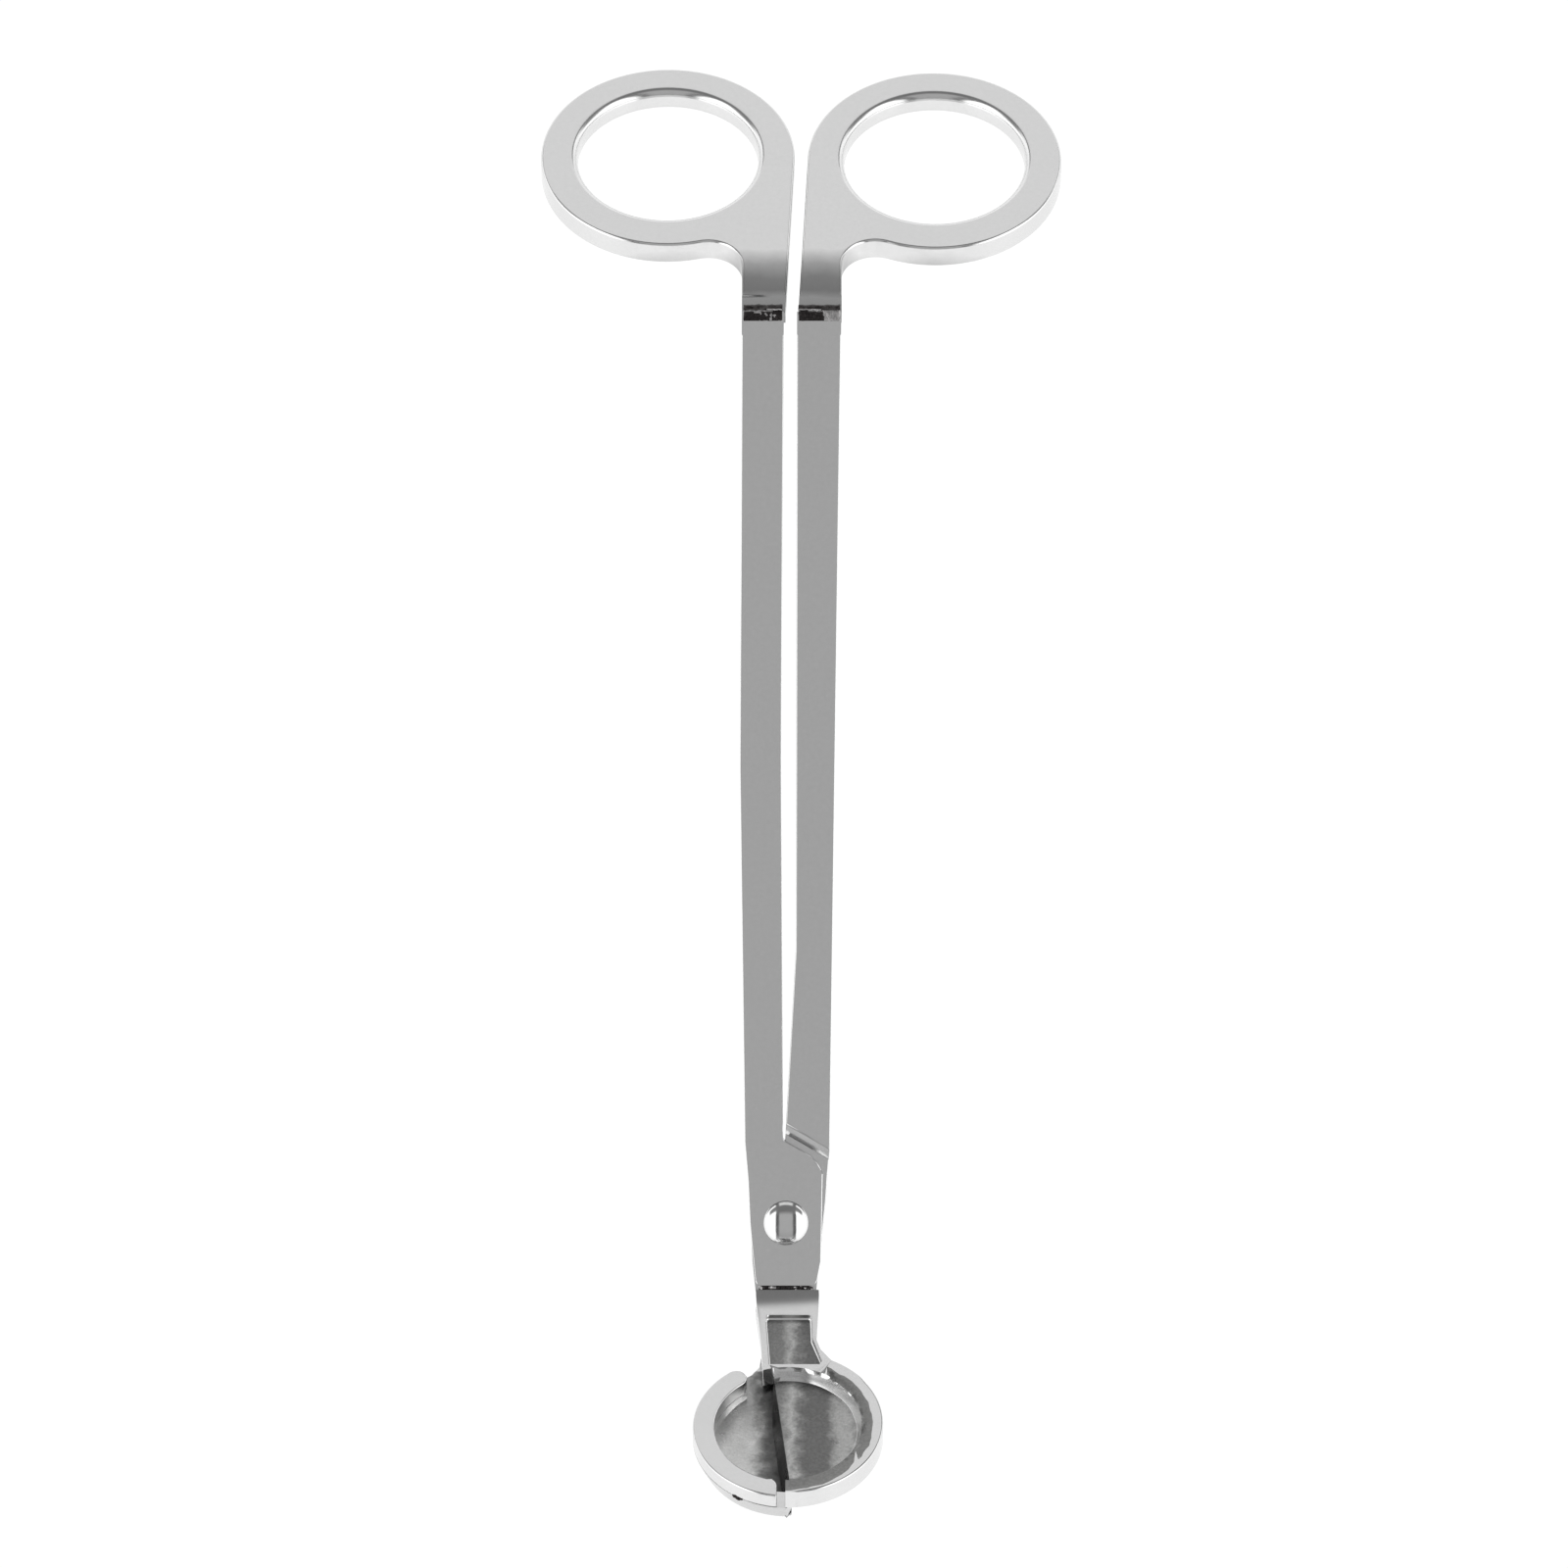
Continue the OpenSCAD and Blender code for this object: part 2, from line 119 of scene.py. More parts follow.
def copyNode(node, name, weld=0.001):
    # a closed copy of a CAD node to round and dress, its shortest edges welded away
    obj = bpy.data.objects[node].copy()
    obj.data = bpy.data.objects[node].data.copy()
    obj.name = name
    bpy.context.scene.collection.objects.link(obj)
    obj.data.materials.clear()
    onlyThis(obj)
    bpy.ops.object.mode_set(mode="EDIT")
    bpy.ops.mesh.select_all(action="SELECT")
    bpy.ops.mesh.remove_doubles(threshold=weld * mm)
    bpy.ops.mesh.dissolve_limited(angle_limit=math.radians(0.2))
    bpy.ops.object.mode_set(mode="OBJECT")
    return obj


def slicePiece(obj, base, axis, places):
    # extra rings of vertices across an axis of a local frame, at places in mm
    way = Vector(axis)
    onlyThis(obj)
    bpy.ops.object.mode_set(mode="EDIT")
    for place in places:
        bpy.ops.mesh.select_all(action="SELECT")
        bpy.ops.mesh.bisect(plane_co=base @ (way * place * mm), plane_no=base.to_3x3() @ way)
    bpy.ops.object.mode_set(mode="OBJECT")


def finishPiece(obj, body, node, material, smooth=35):
    onlyThis(obj)
    weighted = obj.modifiers.new("evenShading", "WEIGHTED_NORMAL")
    weighted.keep_sharp = True
    bpy.ops.object.shade_smooth_by_angle(angle=math.radians(smooth))
    bpy.ops.object.modifier_apply(modifier=weighted.name)
    if material and not obj.data.materials:
        obj.data.materials.append(material)
    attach(obj, body)
    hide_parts(node)
    print("made", obj.name, len(obj.data.polygons), "faces")


loopShape = {"holeRound": 0.9, "holeSteps": 6, "rimRound": 0.3, "rimSteps": 4, "rimFrom": 2.9,
             "bend": 43.0, "bendAt": 106.3, "softOver": 6.0, "softBy": 0.2}
loopFrame = toolFrame @ Matrix.Translation((0, loopShape["bendAt"] * mm, 0)) \
    @ Matrix.Rotation(math.radians(-loopShape["bend"]), 4, "X")
toLoop = loopFrame.inverted()

# how far each way the painted streaks of light and shade reach
bandSpan = 12.0
tangEnds = [(loopFrame @ Vector((0, along * mm, 0))).y for along in (-bandSpan, bandSpan)]


def steelShader(name, look):
    # metal with a slightly uneven gloss and a fine surface grain, sized in millimetres
    mat = bpy.data.materials.new(name)
    mat.use_nodes = True
    tree = mat.node_tree
    shader = tree.nodes["Principled BSDF"]
    shader.inputs["Metallic"].default_value = 1.0
    coords = addNode(tree, "ShaderNodeTexCoord")
    cloud = addNode(tree, "ShaderNodeTexNoise", {"Vector": coords.outputs["Object"]},
                    in_Scale=1 / (look["patch"] * mm), in_Detail=3.0, in_Roughness=0.6)
    fine = addNode(tree, "ShaderNodeTexNoise", {"Vector": coords.outputs["Object"]},
                   in_Scale=1 / (look["grain"] * mm), in_Detail=4.0, in_Roughness=0.65)
    gloss = addNode(tree, "ShaderNodeMapRange", {"Value": cloud.outputs["Fac"]})
    gloss.inputs["From Min"].default_value = 0.3
    gloss.inputs["From Max"].default_value = 0.7
    gloss.inputs["To Min"].default_value = look["roughness"] - look["uneven"]
    gloss.inputs["To Max"].default_value = look["roughness"] + look["uneven"]
    tree.links.new(gloss.outputs["Result"], shader.inputs["Roughness"])
    tint = addNode(tree, "ShaderNodeMix", {"Factor": fine.outputs["Fac"]}, data_type="RGBA")
    tint.inputs["A"].default_value = srgb(look["low"])
    tint.inputs["B"].default_value = srgb(look["high"])
    tree.links.new(tint.outputs["Result"], shader.inputs["Base Color"])
    bump = addNode(tree, "ShaderNodeBump", {"Height": fine.outputs["Fac"]})
    bump.inputs["Strength"].default_value = 1.0
    bump.inputs["Distance"].default_value = look["bump"] * mm
    if "paintedLightBands" in look:
        # painted light and shade: darker and lighter streaks side by side across the piece, multiplied into
        # its colour
        axis, begin, end = look.get("across", ("X", toolFrame.translation.x - bandSpan * mm,
                                               toolFrame.translation.x + bandSpan * mm))
        axes = addNode(tree, "ShaderNodeSeparateXYZ", {"Vector": coords.outputs["Object"]})
        place = addNode(tree, "ShaderNodeMapRange", {"Value": axes.outputs[axis]})
        place.inputs["From Min"].default_value = begin
        place.inputs["From Max"].default_value = end
        blur = addNode(tree, "ShaderNodeMath", {0: cloud.outputs["Fac"]}, operation="MULTIPLY_ADD")
        blur.inputs[1].default_value = 0.12
        blur.inputs[2].default_value = -0.06
        smear = addNode(tree, "ShaderNodeMath", {0: place.outputs["Result"], 1: blur.outputs["Value"]},
                        operation="ADD")
        ramp = addNode(tree, "ShaderNodeValToRGB", {"Fac": smear.outputs["Value"]})
        while len(ramp.color_ramp.elements) < len(look["paintedLightBands"]):
            ramp.color_ramp.elements.new(0.5)
        for stop, (across, level) in zip(ramp.color_ramp.elements, look["paintedLightBands"]):
            stop.position = 0.5 + across / (2 * bandSpan)
            stop.color = (level, level, level, 1)
        paintedLight = addNode(tree, "ShaderNodeMix", {"A": tint.outputs["Result"], "B": ramp.outputs["Color"]},
                         data_type="RGBA", blend_type="MULTIPLY")
        paintedLight.inputs["Factor"].default_value = 1.0
        tree.links.new(paintedLight.outputs["Result"], shader.inputs["Base Color"])
    tree.links.new(bump.outputs["Normal"], shader.inputs["Normal"])
    return mat


# polished stainless steel of the arms, loops and rims
polished = steelShader("polishedSteel", {"low": "#DADADA", "high": "#E4E4E4", "roughness": 0.19,
                       "uneven": 0.02, "patch": 9, "grain": 0.5, "bump": 0.001})
# the loops, with painted shade on the tang beside the weld: darker bands stand in for the dark reflection
# along the bend
loopSteelPaintedShade = steelShader("loopSteelPaintedShade", {"low": "#DADADA", "high": "#E4E4E4", "roughness": 0.19,
                        "uneven": 0.02, "patch": 9, "grain": 0.5, "bump": 0.001,
                        "across": ("Y", *tangEnds),
                        "paintedLightBands": ((-1, 0.3), (0.6, 0.38), (2.6, 0.42), (3.8, 0.27), (5.6, 0.3), (7.6, 0.5),
                                  (10.4, 1.0))})
# the same steel, cast and tumbled, left satin in the sunk faces, with painted reflections: lighter stripes
# across the floors and darker ones between
satinCastPaintedReflection = steelShader("satinCastSteelPaintedReflection", {"low": "#929291", "high": "#E4E4E3", "roughness": 0.32,
                        "uneven": 0.06, "patch": 1.6, "grain": 0.32, "bump": 0.03,
                        "paintedLightBands": ((-3, 0.4), (-0.5, 0.5), (0.6, 1.0), (1.5, 0.5), (2.2, 0.34), (4.8, 0.36),
                                  (5.9, 0.85), (7.4, 0.9), (9, 0.4))})
# the slope ground round the rim, coarse and dark
groundBand = steelShader("groundBand", {"low": "#6E6E6D", "high": "#A8A8A7", "roughness": 0.36,
                         "uneven": 0.06, "patch": 1.2, "grain": 0.3, "bump": 0.03})
# the cup floor, with painted shade darkening it toward the slit on its right, for the shadow and dark
# reflection under the upper blade
satinCupPaintedShade = steelShader("satinCupSteelPaintedShade", {"low": "#B8B8B7", "high": "#F2F2F1", "roughness": 0.32,
                       "uneven": 0.06, "patch": 1.6, "grain": 0.32, "bump": 0.03,
                       "paintedLightBands": ((-9, 1.0), (-6.5, 1.0), (-4.0, 0.95), (-2.8, 0.36), (-1.9, 0.2),
                                 (-0.6, 0.09))})
# the cup's outer side, less polished than its rim
cupSide = steelShader("cupSideSteel", {"low": "#C2C2C2", "high": "#D6D6D6", "roughness": 0.24,
                      "uneven": 0.03, "patch": 4, "grain": 0.5, "bump": 0.004})
# scaled, oxidised weld metal
weldMetal = steelShader("weldMetal", {"low": "#000000", "high": "#4C4848", "roughness": 0.3,
                        "uneven": 0.14, "patch": 0.8, "grain": 0.3, "bump": 0.07})
# light weld metal: a painted highlight along the crest of the loop beads, and bright patches and flecks at
# random elsewhere on the beads
weldBrightAndHighlight = steelShader("weldBrightAndHighlight", {"low": "#6A6868", "high": "#E6E4E4", "roughness": 0.26,
                         "uneven": 0.1, "patch": 0.6, "grain": 0.35, "bump": 0.05})
# bright rivet steel
rivetSteel = steelShader("rivetSteel", {"low": "#DEDEDE", "high": "#E8E8E8", "roughness": 0.1,
                         "uneven": 0.03, "patch": 2, "grain": 0.5, "bump": 0.001})
print("finishes made")


def paint(obj, *finishes):
    # first finish everywhere, then each (finish, test) where the test holds for a face
    obj.data.materials.clear()
    obj.data.materials.append(finishes[0])
    for face in obj.data.polygons:
        face.material_index = 0
    for index, (finish, test) in enumerate(finishes[1:], 1):
        obj.data.materials.append(finish)
        for face in obj.data.polygons:
            centre = toHead @ face.center / mm
            normal = toHead.to_3x3() @ face.normal
            if test(centre, normal):
                face.material_index = index


def softenBend(loop):
    # the tang leaves the weld in a slow curve, not a sharp fold
    over = loopShape["softOver"]
    for vertex in loop.data.vertices:
        place = toLoop @ vertex.co
        along = place.y / mm
        if along < over:
            share = 1 + place.z / (3 * mm)
            place.z -= share * loopShape["softBy"] * mm * (1 - max(along, 0) / over) ** 2
            vertex.co = loopFrame @ place


def makeLoop(node, name, hole, body):
    loop = copyNode(node, name)
    slicePiece(loop, loopFrame, (0, 1, 0), [0.75 * step for step in range(1, 9)])
    centre = toLoop @ Vector(hole["pos_m"]) / mm
    reach = hole["dims"]["r_mm"] + 0.3

    def flatReach(p):
        q = toLoop @ (toolFrame @ (p * mm)) / mm
        return math.hypot(q.x - centre.x, q.y - centre.y)

    def alongTang(p):
        return (toLoop @ (toolFrame @ (p * mm)) / mm).y

    roundEdges(loop, loopShape["holeRound"], loopShape["holeSteps"],
               lambda a, b: max(flatReach(a), flatReach(b)) < reach, 40, False)
    roundEdges(loop, loopShape["rimRound"], loopShape["rimSteps"],
               lambda a, b: max(flatReach(a), flatReach(b)) > reach + 2
               and min(alongTang(a), alongTang(b)) > loopShape["rimFrom"], 40, False)
    softenBend(loop)
    finishPiece(loop, body, node, loopSteelPaintedShade)


makeLoop("left_finger_loop", "leftLoop", holes["left_finger_hole"], "front_arm")
makeLoop("right_finger_loop", "rightLoop", holes["right_finger_hole"], "rear_arm")


shankShape = {"round": 0.13, "steps": 3, "cornerSteps": 6}


def upright(a, b):
    return abs(a.z - b.z) > 1.2 and math.hypot(a.x - b.x, a.y - b.y) < 0.2


def makeShank(node, name, body, corners):
    shank = copyNode(node, name)
    for width, *place in corners:
        roundEdges(shank, width, shankShape["cornerSteps"],
                   lambda a, b: upright(a, b) and (a.xy - Vector(place)).length < 0.3, 8)
    slicePiece(shank, toolFrame, (0, 1, 0), (103.5,))
    roundEdges(shank, shankShape["round"], shankShape["steps"],
               lambda a, b: -6.9 < max(a.y, b.y) < 103.6 and min(a.xy.length, b.xy.length) > 1.8
               and (abs(a.z - b.z) < 0.05 or abs(a.z - b.z) > 1.2), 30, False)
    finishPiece(shank, body, node, polished, 25)


# each corner as its radius and its place on the shank
makeShank("left_shank", "leftShank", "front_arm", ((1.5, -0.34, 9.7), (1.6, 3.9, 7.25), (0.6, -3.5, -7.3),
                                                   (0.6, 3.5, -7.3)))
makeShank("right_shank", "rightShank", "rear_arm", ((1.6, -3.9, 7.25), (0.6, -3.5, -8.54), (0.6, 3.5, -8.54)))


jawShape = {"edge": 0.15, "edgeSteps": 3, "floorRound": 0.45, "pocketRound": 0.3, "bladeRound": 0.14,
            "lipRound": 0.2, "recessFloor": -1.6, "pocketFloor": -0.7}
upperJaw = copyNode("upper_jaw", "upperJaw", 0.09)


def headPlace(p):
    return toHead @ (toolFrame @ (p * mm)) / mm


def trayReach(place):
    # from the middle of the tray to a place in its own plane
    return math.hypot(place.x - head["trayX"], place.y - head["trayY"])


def fromCentre(p):
    return trayReach(headPlace(p))


def atHeight(height, slack=0.03):
    return lambda a, b: abs(headPlace(a).z - height) < slack and abs(headPlace(b).z - height) < slack


# the polishing wheel leaves an uneven border along the ground slope
for vertex in upperJaw.data.vertices:
    place = toHead @ vertex.co / mm
    spread = math.hypot(place.x - head["groundX"], place.y - head["groundY"])
    if abs(place.z) < 0.01 and abs(spread - head["groundRadius"]) < 0.02:
        shift = 0.28 * noise.noise(Vector((place.x, place.y, 3)) * 0.7) + 0.1 * noise.noise(place * 2.3)
        place.x += (place.x - head["groundX"]) / spread * shift
        place.y += (place.y - head["groundY"]) / spread * shift
        vertex.co = headFrame @ (place * mm)

onRecessFloor = atHeight(jawShape["recessFloor"])
# the foot of the recess wall, the pocket, the blade edge, then the outer lip; short edges near the foot
# hold its rounding back almost to nothing
roundEdges(upperJaw, jawShape["floorRound"], 5, lambda a, b: onRecessFloor(a, b)
           and max(headPlace(a).x, headPlace(b).x) > -0.7 and (a - b).length < 2
           and min(fromCentre(a), fromCentre(b)) > 7.7, 30)
roundEdges(upperJaw, jawShape["pocketRound"], 4, atHeight(jawShape["pocketFloor"]), 30)
roundEdges(upperJaw, jawShape["bladeRound"], 3, lambda a, b: onRecessFloor(a, b)
           and max(headPlace(a).x, headPlace(b).x) < 1.6
           and abs(headPlace(a).y - headPlace(b).y) > 4, 30, False)
roundEdges(upperJaw, jawShape["lipRound"], 4, lambda a, b: atHeight(0)(a, b)
           and min(fromCentre(a), fromCentre(b)) > 10.9
           and min(headPlace(a).x, headPlace(b).x) > 0.6
           and max(headPlace(a).y, headPlace(b).y) < -12.5, 30, False)
roundEdges(upperJaw, jawShape["edge"], jawShape["edgeSteps"], lambda a, b: True, 24)
finishPiece(upperJaw, "front_arm", "upper_jaw", polished)
# the sunk floors take the satin steel with its painted reflection stripes
paint(upperJaw, polished,
      (satinCastPaintedReflection, lambda c, n: n.z > 0.96 and (abs(c.z - jawShape["recessFloor"]) < 0.12
                                               or abs(c.z - jawShape["pocketFloor"]) < 0.1)),
      (groundBand, lambda c, n: 0.9 < n.z < 0.995 and -0.75 < c.z < 0.02 and c.y < -9))


# the cup's floor and underside, and where and how steeply the floor starts to rise to the neck
cup = {"floor": -4.4, "under": -5.75, "rise": 17.0, "slope": 0.183, "curve": 3, "tipRound": 1.3,
       "underRound": 0.7}
lowerJaw = copyNode("lower_jaw", "lowerJaw", 0.09)
roundEdges(lowerJaw, cup["tipRound"], 6, lambda a, b: abs(headPlace(a).z - headPlace(b).z) > 1.5
           and min(headPlace(a).x, headPlace(b).x) > -0.8
           and max(headPlace(a).y, headPlace(b).y) < -29.5, 20, False)
roundEdges(lowerJaw, cup["underRound"], 5, lambda a, b: atHeight(cup["under"])(a, b)
           and min(fromCentre(a), fromCentre(b)) > 9
           and max(headPlace(a).y, headPlace(b).y) < -13, 30, False)
slicePiece(lowerJaw, headFrame, (0, -1, 0), [cup["rise"] + step * 0.5 for step in range(-6, 7)])
for vertex in lowerJaw.data.vertices:
    # the floor of the cup sweeps up to the neck in a curve
    place = toHead @ vertex.co / mm
    past = cup["rise"] + cup["curve"] + place.y
    ramp = cup["floor"] + cup["slope"] * max(place.y + cup["rise"], 0)
    if 0 < past < 2 * cup["curve"] and abs(place.z - ramp) < 0.03:
        place.z = cup["floor"] + cup["slope"] * past ** 2 / (4 * cup["curve"])
        vertex.co = headFrame @ (place * mm)
roundEdges(lowerJaw, jawShape["edge"], jawShape["edgeSteps"], lambda a, b: True, 24)
finishPiece(lowerJaw, "rear_arm", "lower_jaw", polished)
# the cup floor takes the satin steel with its painted shade toward the slit
paint(lowerJaw, polished,
      (cupSide, lambda c, n: n.z < 0.5 and c.z < -2.9 and trayReach(c) > 9),
      (satinCupPaintedShade, lambda c, n: n.z > 0.3 and c.z < -2.9 and c.y < -5 and trayReach(c) < 11.5))

# the rim's free end at the tip, beside the blade
rim = {"endX": -1.07, "endRound": 0.8, "edge": 0.2}
lowerRim = copyNode("lower_jaw_rim", "lowerJawRim")
roundEdges(lowerRim, rim["endRound"], 6, lambda a, b: abs(headPlace(a).z - headPlace(b).z) > 1.5
           and abs(headPlace(a).x - rim["endX"]) < 0.1 and headPlace(a).y > -29, 30, False)
roundEdges(lowerRim, rim["edge"], 4, lambda a, b: True, 30, False)
finishPiece(lowerRim, "rear_arm", "lower_jaw_rim", polished)


beadGrid = 0.12


def bead(node, name, body, amount, grain, grooves, bright):
    # a weld bar broken up into a rough, pitted bead
    weld = copyNode(node, name)
    onlyThis(weld)
    bpy.ops.object.mode_set(mode="EDIT")
    low, high = (Vector(c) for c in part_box(node))
    across = int((high.x - low.x) / (beadGrid * mm))
    for step in range(1, across):
        bpy.ops.mesh.select_all(action="SELECT")
        bpy.ops.mesh.bisect(plane_co=(low.x + (high.x - low.x) * step / across, 0, 0), plane_no=(1, 0, 0))
    for axis in (1, 2):
        size = (high[axis] - low[axis]) / mm
        for step in range(1, int(size / beadGrid)):
            at = Vector((0, 0, 0))
            at[axis] = low[axis] + step * beadGrid * mm
            no = Vector((0, 0, 0))
            no[axis] = 1
            bpy.ops.mesh.select_all(action="SELECT")
            bpy.ops.mesh.bisect(plane_co=at, plane_no=no)
    bpy.ops.object.mode_set(mode="OBJECT")
    normals = [v.normal.copy() for v in weld.data.vertices]
    for vertex, normal in zip(weld.data.vertices, normals):
        place = toTool @ vertex.co / mm
        lump = noise.noise(place * grain) + 0.6 * noise.noise(place * grain * 2.7)
        push = amount * lump
        if normal.z > 0.2:
            for at, wide, deep in grooves:
                wave = 0.12 * noise.noise(Vector((place.x * 0.8, at, 0)))
                push -= deep * math.exp(-((place.y - at - wave) / wide) ** 2)
        vertex.co += normal * push * mm
    weld.data.materials.append(weldMetal)
    weld.data.materials.append(weldBrightAndHighlight)
    # faces where the mask holds take the light weld metal, a painted highlight on the loop beads' crest
    for face in weld.data.polygons:
        place = toTool @ face.center / mm
        face.material_index = int(bright(place))
    finishPiece(weld, body, node, weldMetal, 60)


bendAt = loopShape["bendAt"]
bendGrooves = ((bendAt + 0.5, 0.22, 0.14), (bendAt - 0.45, 0.45, 0.12))


def crestHighlight(p):
    # a painted highlight that wanders along the bead's crest, and bright flecks below it
    wave = 0.3 * noise.noise(Vector((p.x * 0.5, 7.3, 0)))
    fleck = noise.noise(Vector((p.x * 2.6, p.y * 2.6, 4.1)))
    return p.z > -0.35 and (abs(p.y - bendAt - 0.15 - wave) < 0.11
                            or (fleck > 0.28 and p.y < bendAt - 0.2 and p.x > -3.1))


bead("left_loop_weld", "leftLoopWeld", "front_arm", 0.09, 1.7, bendGrooves, crestHighlight)
bead("right_loop_weld", "rightLoopWeld", "rear_arm", 0.09, 1.7, bendGrooves,
     lambda p: p.z > -0.35 and (crestHighlight(Vector((p.x - 9, p.y, p.z)))
                                or (p.x > 4.45 + 0.3 * noise.noise(p * 1.3) and p.y < bendAt + 0.1)))
for jaw, body in (("upper", "front_arm"), ("lower", "rear_arm")):
    bead(jaw + "_jaw_weld", jaw + "JawWeld", body, 0.3, 1.9, (),
         lambda p: noise.noise(Vector((p.x * 1.9, p.y * 3, 2))) > 0.15)


# radius and height of each ring, from the peened tail up through the bores to the crown
rivet = {"rings": ((0.15, -3.6), (0.6, -3.59), (1.3, -3.54), (1.85, -3.42), (2.1, -3.2), (2.05, -3.02),
                   (1.5, -3.0), (1.5, 0.04), (2.45, 0.05), (2.6, 0.12), (2.6, 0.24), (2.5, 0.42),
                   (2.28, 0.66), (1.95, 0.9), (1.5, 1.1), (1.0, 1.24), (0.5, 1.32), (0.15, 1.348))}
bpy.ops.object.select_all(action="DESELECT")
bpy.ops.mesh.primitive_circle_add(vertices=64, radius=rivet["rings"][0][0] * mm, fill_type="NGON",
                                  location=(0, 0, rivet["rings"][0][1] * mm))
pin = bpy.context.object
pin.name = "pivotRivet"
bpy.ops.object.transform_apply(location=True)
bpy.ops.object.mode_set(mode="EDIT")
bpy.ops.mesh.select_mode(type="FACE")
bpy.ops.mesh.select_all(action="SELECT")
for was, ring in zip(rivet["rings"], rivet["rings"][1:]):
    bpy.ops.mesh.extrude_region_move(TRANSFORM_OT_translate={"value": (0, 0, (ring[1] - was[1]) * mm)})
    wider = ring[0] / was[0]
    bpy.ops.transform.resize(value=(wider, wider, 1), center_override=(0, 0, ring[1] * mm))
bpy.ops.mesh.select_all(action="SELECT")
bpy.ops.mesh.normals_make_consistent(inside=False)
bpy.ops.object.mode_set(mode="OBJECT")
pin.data.transform(toolFrame)
finishPiece(pin, "rear_arm", "pivot_rivet", rivetSteel, 50)


tack = {"place": (-5.6, -29.15, -2.8), "size": (0.7, 0.22, 0.24)}
bpy.ops.object.select_all(action="DESELECT")
bpy.ops.mesh.primitive_ico_sphere_add(subdivisions=4, radius=mm, location=(0, 0, 0))
tackPiece = bpy.context.object
tackPiece.name = "rimTack"
bpy.ops.object.mode_set(mode="EDIT")
bpy.ops.transform.resize(value=tack["size"])
bpy.ops.object.mode_set(mode="OBJECT")
for vertex in tackPiece.data.vertices:
    vertex.co *= 1 + 0.35 * noise.noise(vertex.co / mm * 3.1)
tackPiece.data.transform(headFrame @ Matrix.Translation(Vector(tack["place"]) * mm)
                         @ Matrix.Rotation(math.radians(-32), 4, "Z"))
tackPiece.data.materials.append(weldMetal)
bpy.ops.object.shade_smooth()
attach(tackPiece, "rear_arm")
print("made rimTack")


# a lit white table set low, so that nothing throws a shadow on it and an open arm clears it
table = {"size": 8, "drop": 0.06, "glow": 1.02}
floorFinish = bpy.data.materials.new("litTable")
floorFinish.use_nodes = True
glow = floorFinish.node_tree.nodes["Principled BSDF"]
glow.inputs["Base Color"].default_value = (0, 0, 0, 1)
glow.inputs["Emission Color"].default_value = (1, 1, 1, 1)
glow.inputs["Emission Strength"].default_value = table["glow"]
bpy.ops.object.select_all(action="DESELECT")
bpy.ops.mesh.primitive_plane_add(size=table["size"], location=(0, 0, -table["drop"]))
floor = bpy.context.object
floor.name = "floor"
floor.data.materials.append(floorFinish)

# the studio dome: grey over the camera, a dark card beyond it, white walls all round
dome = bpy.data.worlds.new("studioDome")
bpy.context.scene.world = dome
dome.use_nodes = True
tree = dome.node_tree
sky = tree.nodes["Background"]
coords = addNode(tree, "ShaderNodeTexCoord")
axes = addNode(tree, "ShaderNodeSeparateXYZ", {"Vector": coords.outputs["Generated"]})
swing = addNode(tree, "ShaderNodeMath", operation="ARCTAN2")
tree.links.new(axes.outputs["Y"], swing.inputs[0])
tree.links.new(axes.outputs["Z"], swing.inputs[1])
turn = addNode(tree, "ShaderNodeMapRange", {"Value": swing.outputs["Value"]})
turn.inputs["From Min"].default_value = -math.pi
turn.inputs["From Max"].default_value = math.pi
# degrees from the zenith toward the loops, and brightness: straight on, and a little to the side
straight = [(-90, 0.8), (-70, 0.8), (-58, 0.4), (-30, 0.47), (12, 0.47), (26, 0.2), (56, 0.2), (67, 0.82),
            (90, 0.9)]
flank = [(-90, 0.6), (-74, 0.4), (-50, 0.12), (12, 0.12), (26, 0.2), (60, 0.2), (75, 0.18), (90, 0.2)]
farWall = 1.55
top = 2.0


def domeRamp(stops):
    ramp = addNode(tree, "ShaderNodeValToRGB", {"Fac": turn.outputs["Result"]})
    while len(ramp.color_ramp.elements) < len(stops):
        ramp.color_ramp.elements.new(0.5)
    for stop, (degrees, level) in zip(ramp.color_ramp.elements, stops):
        stop.position = 0.5 + degrees / 360
        stop.color = (level / top, level / top, level / top, 1)
    return ramp.outputs["Color"]


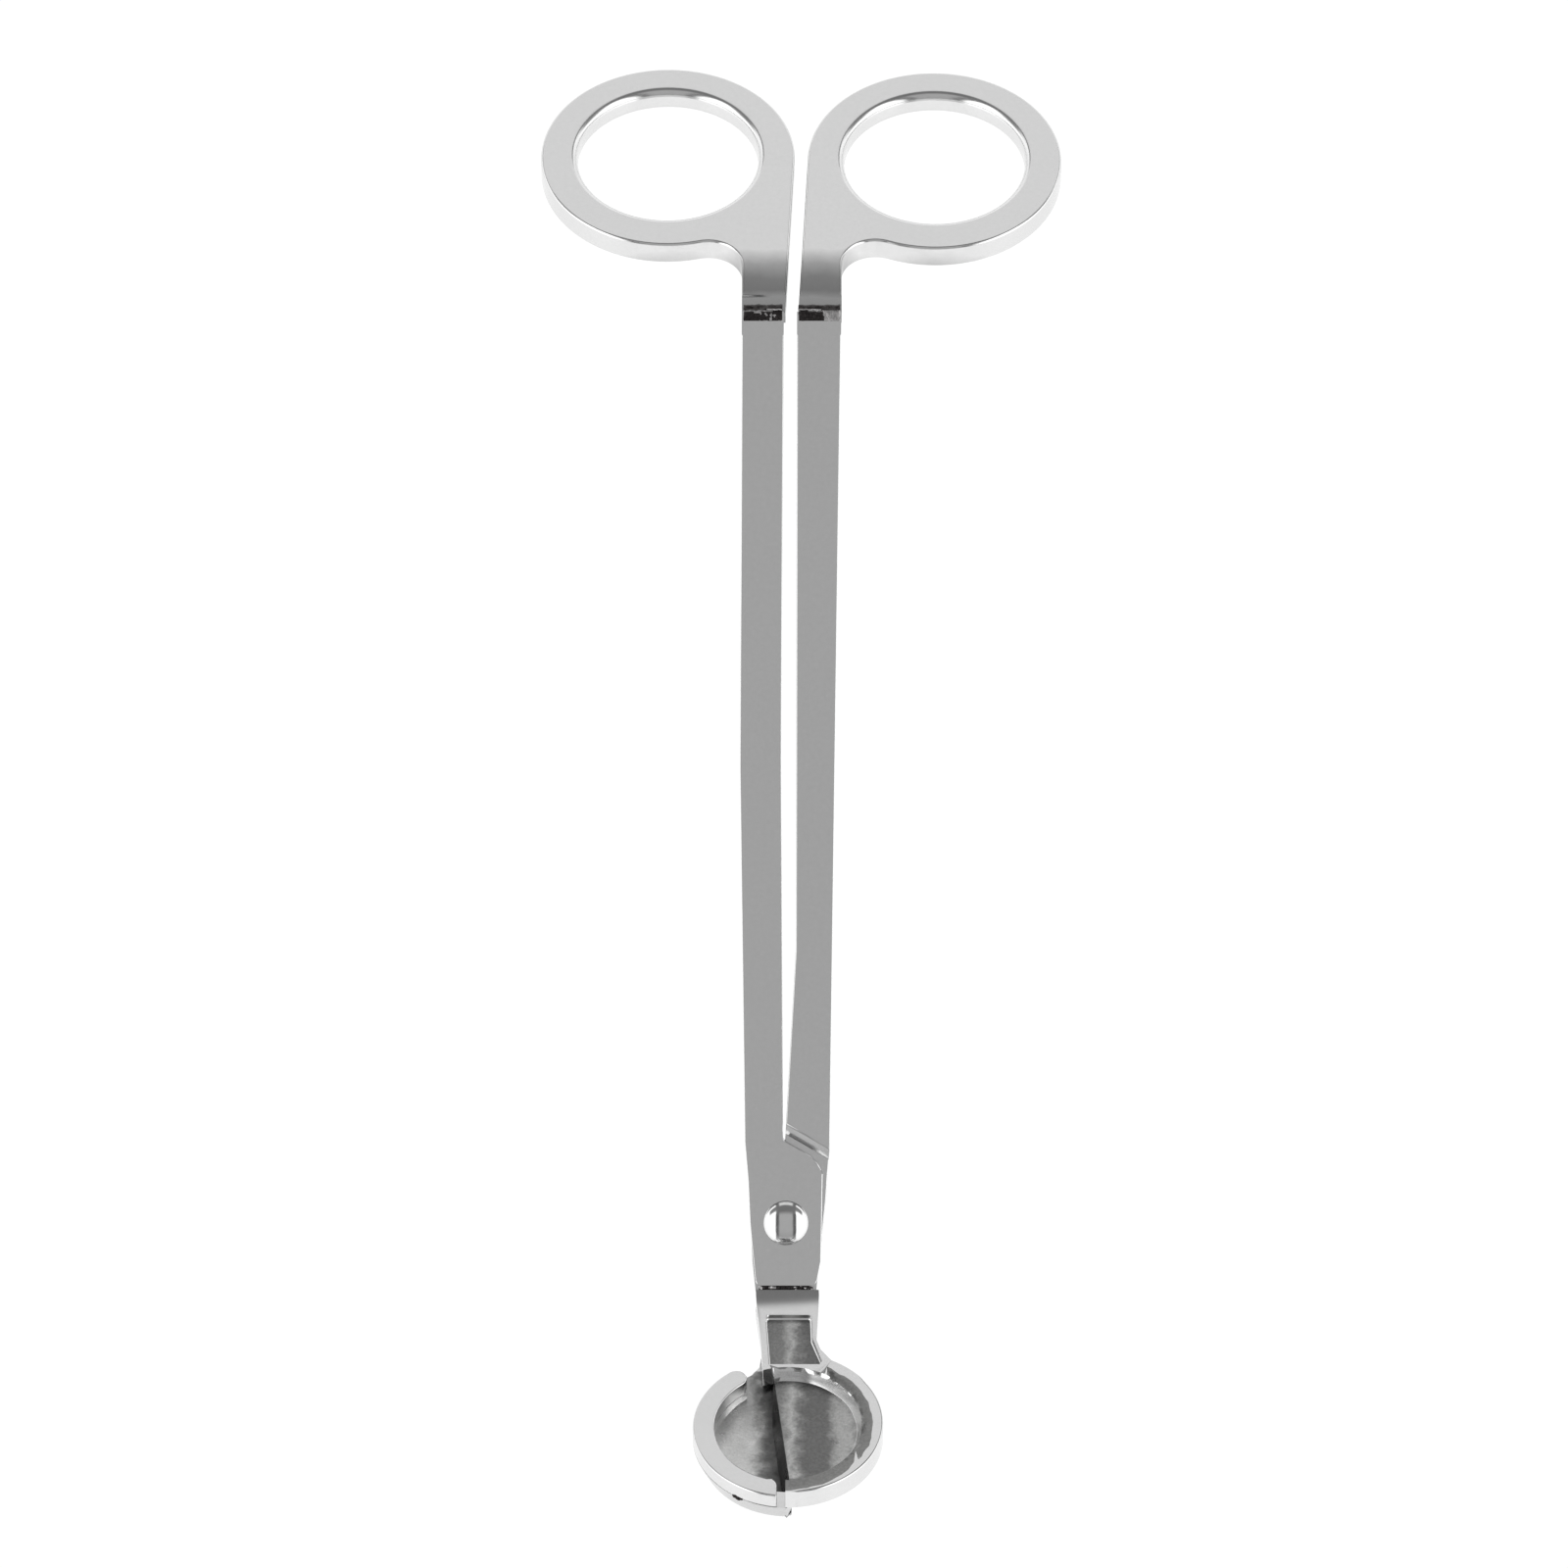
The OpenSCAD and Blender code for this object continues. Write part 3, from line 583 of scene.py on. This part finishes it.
def sideways(start, end):
    # 0 straight ahead, 1 to the side
    side = addNode(tree, "ShaderNodeMath", {0: axes.outputs["X"]}, operation="ABSOLUTE")
    part = addNode(tree, "ShaderNodeMapRange", {"Value": side.outputs["Value"]},
                   interpolation_type="SMOOTHSTEP")
    part.inputs["From Min"].default_value = start
    part.inputs["From Max"].default_value = end
    return part.outputs["Result"]


beside = [(-90, 1.5), (-50, 1.7), (27, 1.7), (38, 0.3), (62, 0.22), (74, 1.2), (90, 1.4)]
near = addNode(tree, "ShaderNodeMix", {"Factor": sideways(0.3, 0.4), "A": domeRamp(straight),
                                       "B": domeRamp(flank)}, data_type="RGBA")
wide = addNode(tree, "ShaderNodeMix", {"Factor": sideways(0.48, 0.56), "A": near.outputs["Result"],
                                       "B": domeRamp(beside)}, data_type="RGBA")
mix = addNode(tree, "ShaderNodeMix", {"Factor": sideways(0.8, 0.92), "A": wide.outputs["Result"]},
              data_type="RGBA")
mix.inputs["B"].default_value = (farWall / top, farWall / top, farWall / top, 1)
tree.links.new(mix.outputs["Result"], sky.inputs["Color"])
sky.inputs["Strength"].default_value = top

keyLight = {"energy": 0.8, "size": 0.3, "place": (-0.35, -0.25, 0.8)}
bpy.ops.object.light_add(type="AREA", location=keyLight["place"])
key = bpy.context.object
key.name = "keyLight"
key.data.energy = keyLight["energy"]
key.data.size = keyLight["size"]
key.visible_glossy = False
key.rotation_euler = (-Vector(keyLight["place"])).to_track_quat("-Z", "Y").to_euler()

# the camera looks square at the shanks
camera = {"x": -0.23, "y": 51.2, "distance": 1300, "lens": 255.9, "sensor": 36.0}
bpy.ops.object.camera_add()
cam = bpy.context.object
cam.name = "productCamera"
cam.data.lens = camera["lens"]
cam.data.sensor_width = camera["sensor"]
cam.data.clip_start = 0.05
cam.data.clip_end = 20
cam.matrix_world = toolFrame @ Matrix.Translation(Vector((camera["x"], camera["y"], camera["distance"])) * mm)
bpy.context.scene.camera = cam
bpy.context.scene.view_settings.view_transform = "Standard"
print("stage set")
